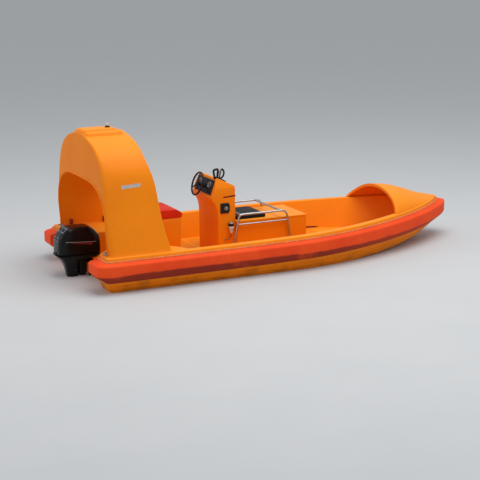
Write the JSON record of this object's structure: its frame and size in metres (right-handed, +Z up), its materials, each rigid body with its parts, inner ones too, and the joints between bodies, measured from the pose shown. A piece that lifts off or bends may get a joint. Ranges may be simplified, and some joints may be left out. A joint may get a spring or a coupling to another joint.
{
  "type": "open rescue boat",
  "caption": "Open rescue boat with a foam fender, righting arch, bow hood, console, railed seat box and a tilting, steering outboard motor with a turning propeller",
  "frame": {"origin": "on the centreline, amidships, at the waterline", "axes": "+X forward, +Y to port, +Z up"},
  "size_m": [6.412, 2.594, 2.8528],
  "materials": {
    "gelcoat_orange": "glossy orange gelcoat over glass-reinforced plastic",
    "fender_foam": "red-orange skinned foam fender",
    "stainless": "polished stainless tube",
    "black_plastic": "moulded black plastic",
    "motor_paint": "gloss black paint",
    "powerhead_block": "bare casting, closed inside the cowl",
    "filter_metal": "bare alloy head and bowl",
    "seat_vinyl": "red coated fabric over foam",
    "pad_vinyl": "black coated fabric over foam",
    "clear_lens": "clear ribbed lens"
  },
  "bodies": {
    "boat": {"hull": "gelcoat_orange", "deck_moulding": "gelcoat_orange", "cockpit_floor": "gelcoat_orange", "motor_well_liner": "gelcoat_orange", "righting_arch": "gelcoat_orange", "bow_hood": "gelcoat_orange", "console": "gelcoat_orange", "seat_box": "gelcoat_orange", "helm_seat_base": "gelcoat_orange", "arch_top_pad": "gelcoat_orange", "fender_port": "fender_foam", "fender_starboard": "fender_foam", "grab_rail_port": "stainless", "grab_rail_starboard": "stainless", "low_rail_port": "stainless", "low_rail_starboard": "stainless", "rail_crossbar_aft": "stainless", "rail_crossbar_forward": "stainless", "stern_cleat_port": "stainless", "stern_cleat_starboard": "stainless", "all_round_light_base": "black_plastic", "dash_panel": "black_plastic", "steering_column": "black_plastic", "throttle_control": "black_plastic", "battery_switch": "black_plastic", "fuel_hose": "black_plastic", "motor_clamp_bracket": "motor_paint", "fuel_filter": "filter_metal", "helm_seat_cushion": "seat_vinyl", "seat_box_pad": "pad_vinyl", "all_round_light_lens": "clear_lens"},
    "motor_bracket": {"motor_swivel_bracket": "motor_paint"},
    "outboard": {"motor_midsection": "motor_paint", "motor_lower_cowl": "motor_paint", "motor_cowl": "motor_paint", "powerhead": "powerhead_block", "motor_gearcase": "motor_paint"},
    "propeller": {"propeller": "motor_paint"},
    "steering_wheel": {"steering_wheel": "black_plastic"}
  },
  "joints": [
    {"name": "motor_tilt", "type": "hinge", "parent": "boat", "child": "motor_bracket", "pos_m": [-2.725, 0, 0.205], "axis": [0, 1, 0], "range_deg": [0, 65]},
    {"name": "motor_steer", "type": "hinge", "parent": "motor_bracket", "child": "outboard", "pos_m": [-2.87, 0, 0], "axis": [0, 0, 1], "range_deg": [-30, 30]},
    {"name": "propeller_spin", "type": "hinge", "parent": "outboard", "child": "propeller", "pos_m": [-3.2, 0, -0.565], "axis": [1, 0, 0], "continuous": true},
    {"name": "steering_wheel_turn", "type": "hinge", "parent": "boat", "child": "steering_wheel", "pos_m": [-1.0737, 0, 1.1396], "axis": [-0.9455, 0, 0.3257], "range_deg": [-450, 450]}
  ],
  "couplings": [
    {"joint": "steering_wheel_turn", "follows": "motor_steer", "ratio": -15}
  ]
}
